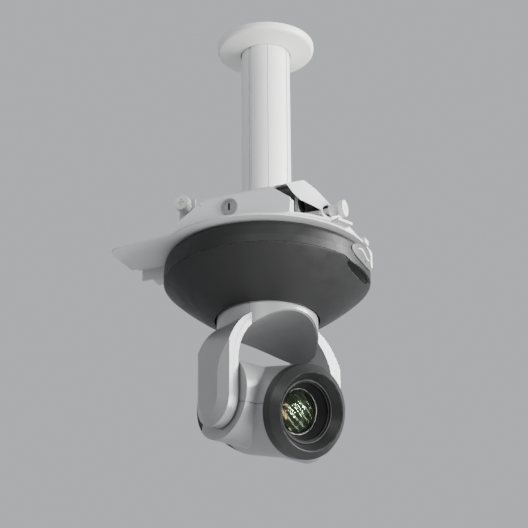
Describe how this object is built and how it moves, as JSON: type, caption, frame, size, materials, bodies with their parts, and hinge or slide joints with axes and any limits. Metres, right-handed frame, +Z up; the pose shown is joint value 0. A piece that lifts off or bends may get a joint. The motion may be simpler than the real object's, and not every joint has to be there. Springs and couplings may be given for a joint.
{
  "type": "ptz camera",
  "caption": "Ceiling-hung pan, tilt and zoom camera on a drop column, with a lockable bracket, round base, yoke and lens head.",
  "frame": {"origin": "centre of the ceiling flange, on the face that meets the ceiling", "axes": "+Z up into the ceiling, -Y towards the badge on the front of the base, +X to the right of the badge seen from above"},
  "size_m": [0.206, 0.2289, 0.447],
  "materials": {
    "galvanised_steel": "satin",
    "white_plastic": "satin",
    "white_paint": "satin powder coat",
    "black_rubber": "matte",
    "dark_base_plastic": "satin",
    "badge_plastic": "gloss",
    "smoked_window": "gloss",
    "black_plastic": "satin",
    "black_anodised": "anodised",
    "circuit_board": "satin",
    "motor_steel": "satin",
    "brass": "satin",
    "aluminium": "machined",
    "silver_plastic": "satin silver paint",
    "lens_glass": "coated"
  },
  "bodies": {
    "mount": {"ceiling_plate": "galvanised_steel", "ceiling_flange": "white_plastic", "column": "white_paint", "column_cover": "white_plastic", "column_screws": "galvanised_steel", "column_clamp": "galvanised_steel", "bracket_bridge": "galvanised_steel", "front_upright": "galvanised_steel", "rear_uprights": "galvanised_steel", "cable_grommet": "black_rubber", "bracket_housing": "white_paint", "lock_plate": "white_paint", "bracket_screws": "galvanised_steel", "camera_tray": "white_paint", "tray_flange": "white_paint", "lock_barrel": "galvanised_steel", "base_plate": "dark_base_plastic", "rubber_feet": "black_rubber", "base_band": "dark_base_plastic", "base_bowl": "dark_base_plastic", "badge": "badge_plastic", "ir_window": "smoked_window", "rear_panel": "black_plastic", "power_inlet": "black_plastic", "network_socket": "galvanised_steel", "video_socket": "galvanised_steel", "main_board": "circuit_board", "base_chassis": "galvanised_steel", "pan_bearing": "galvanised_steel", "pan_motor": "motor_steel", "pan_belt": "black_rubber"},
    "lock": {"lock_plug": "galvanised_steel", "lock_cam": "galvanised_steel"},
    "rear_knob": {"rear_thumb_screw": "white_plastic"},
    "front_knob": {"front_thumb_screw": "white_plastic"},
    "pan_pinion": {"pan_motor_pulley": "brass"},
    "yoke": {"yoke_frame": "silver_plastic", "pan_spindle": "aluminium", "saddle_liner": "dark_base_plastic", "left_arm_cover": "silver_plastic", "right_arm_cover": "silver_plastic", "tilt_motor": "motor_steel", "tilt_belt": "black_rubber", "tilt_bearings": "galvanised_steel", "arm_screws": "galvanised_steel"},
    "tilt_pinion": {"tilt_motor_pulley": "brass"},
    "head": {"head_upper_shell": "silver_plastic", "head_lower_shell": "silver_plastic", "rear_cover": "black_plastic", "lens_bezel": "black_plastic", "lens_hood": "black_plastic", "barrel_ring": "black_anodised", "lens_barrel": "black_plastic", "front_glass": "lens_glass", "sensor_board": "circuit_board", "head_frame": "aluminium", "tilt_axles": "aluminium", "tilt_pulley": "brass"},
    "zoom": {"zoom_group": "black_plastic"},
    "focus": {"focus_group": "black_plastic"}
  },
  "joints": [
    {"name": "pan", "type": "hinge", "parent": "mount", "child": "yoke", "pos_m": [0, 0, -0.266], "axis": [0, 0, 1], "range_deg": [-141, 199]},
    {"name": "pan_motor_turn", "type": "hinge", "parent": "mount", "child": "pan_pinion", "pos_m": [-0.057, 0, -0.281], "axis": [0, 0, 1], "range_deg": [-564, 796]},
    {"name": "tilt", "type": "hinge", "parent": "yoke", "child": "head", "pos_m": [0, 0, -0.3885], "axis": [0.8746, -0.4848, 0], "range_deg": [-47, 73]},
    {"name": "tilt_motor_turn", "type": "hinge", "parent": "yoke", "child": "tilt_pinion", "pos_m": [-0.05283, 0.02928, -0.3615], "axis": [0.8746, -0.4848, 0], "range_deg": [-111.62, 173.38]},
    {"name": "lock_turn", "type": "hinge", "parent": "mount", "child": "lock", "pos_m": [-0.09, -0.001, -0.2205], "axis": [1, 0, 0], "range_deg": [0, 90]},
    {"name": "rear_screw_turn", "type": "hinge", "parent": "mount", "child": "rear_knob", "pos_m": [-0.068, 0.0555, -0.197], "axis": [-1, 0, 0], "continuous": true},
    {"name": "front_screw_turn", "type": "hinge", "parent": "mount", "child": "front_knob", "pos_m": [-0.057, -0.097, -0.2265], "axis": [0, -1, 0], "continuous": true},
    {"name": "zoom_slide", "type": "slide", "parent": "head", "child": "zoom", "axis": [-0.4636, -0.8364, -0.2924], "range_m": [-0.01, 0.008]},
    {"name": "focus_slide", "type": "slide", "parent": "head", "child": "focus", "axis": [-0.4636, -0.8364, -0.2924], "range_m": [-0.008, 0.003]}
  ],
  "couplings": [
    {"joint": "pan_motor_turn", "follows": "pan", "ratio": 4},
    {"joint": "tilt_motor_turn", "follows": "tilt", "ratio": 2.375}
  ]
}
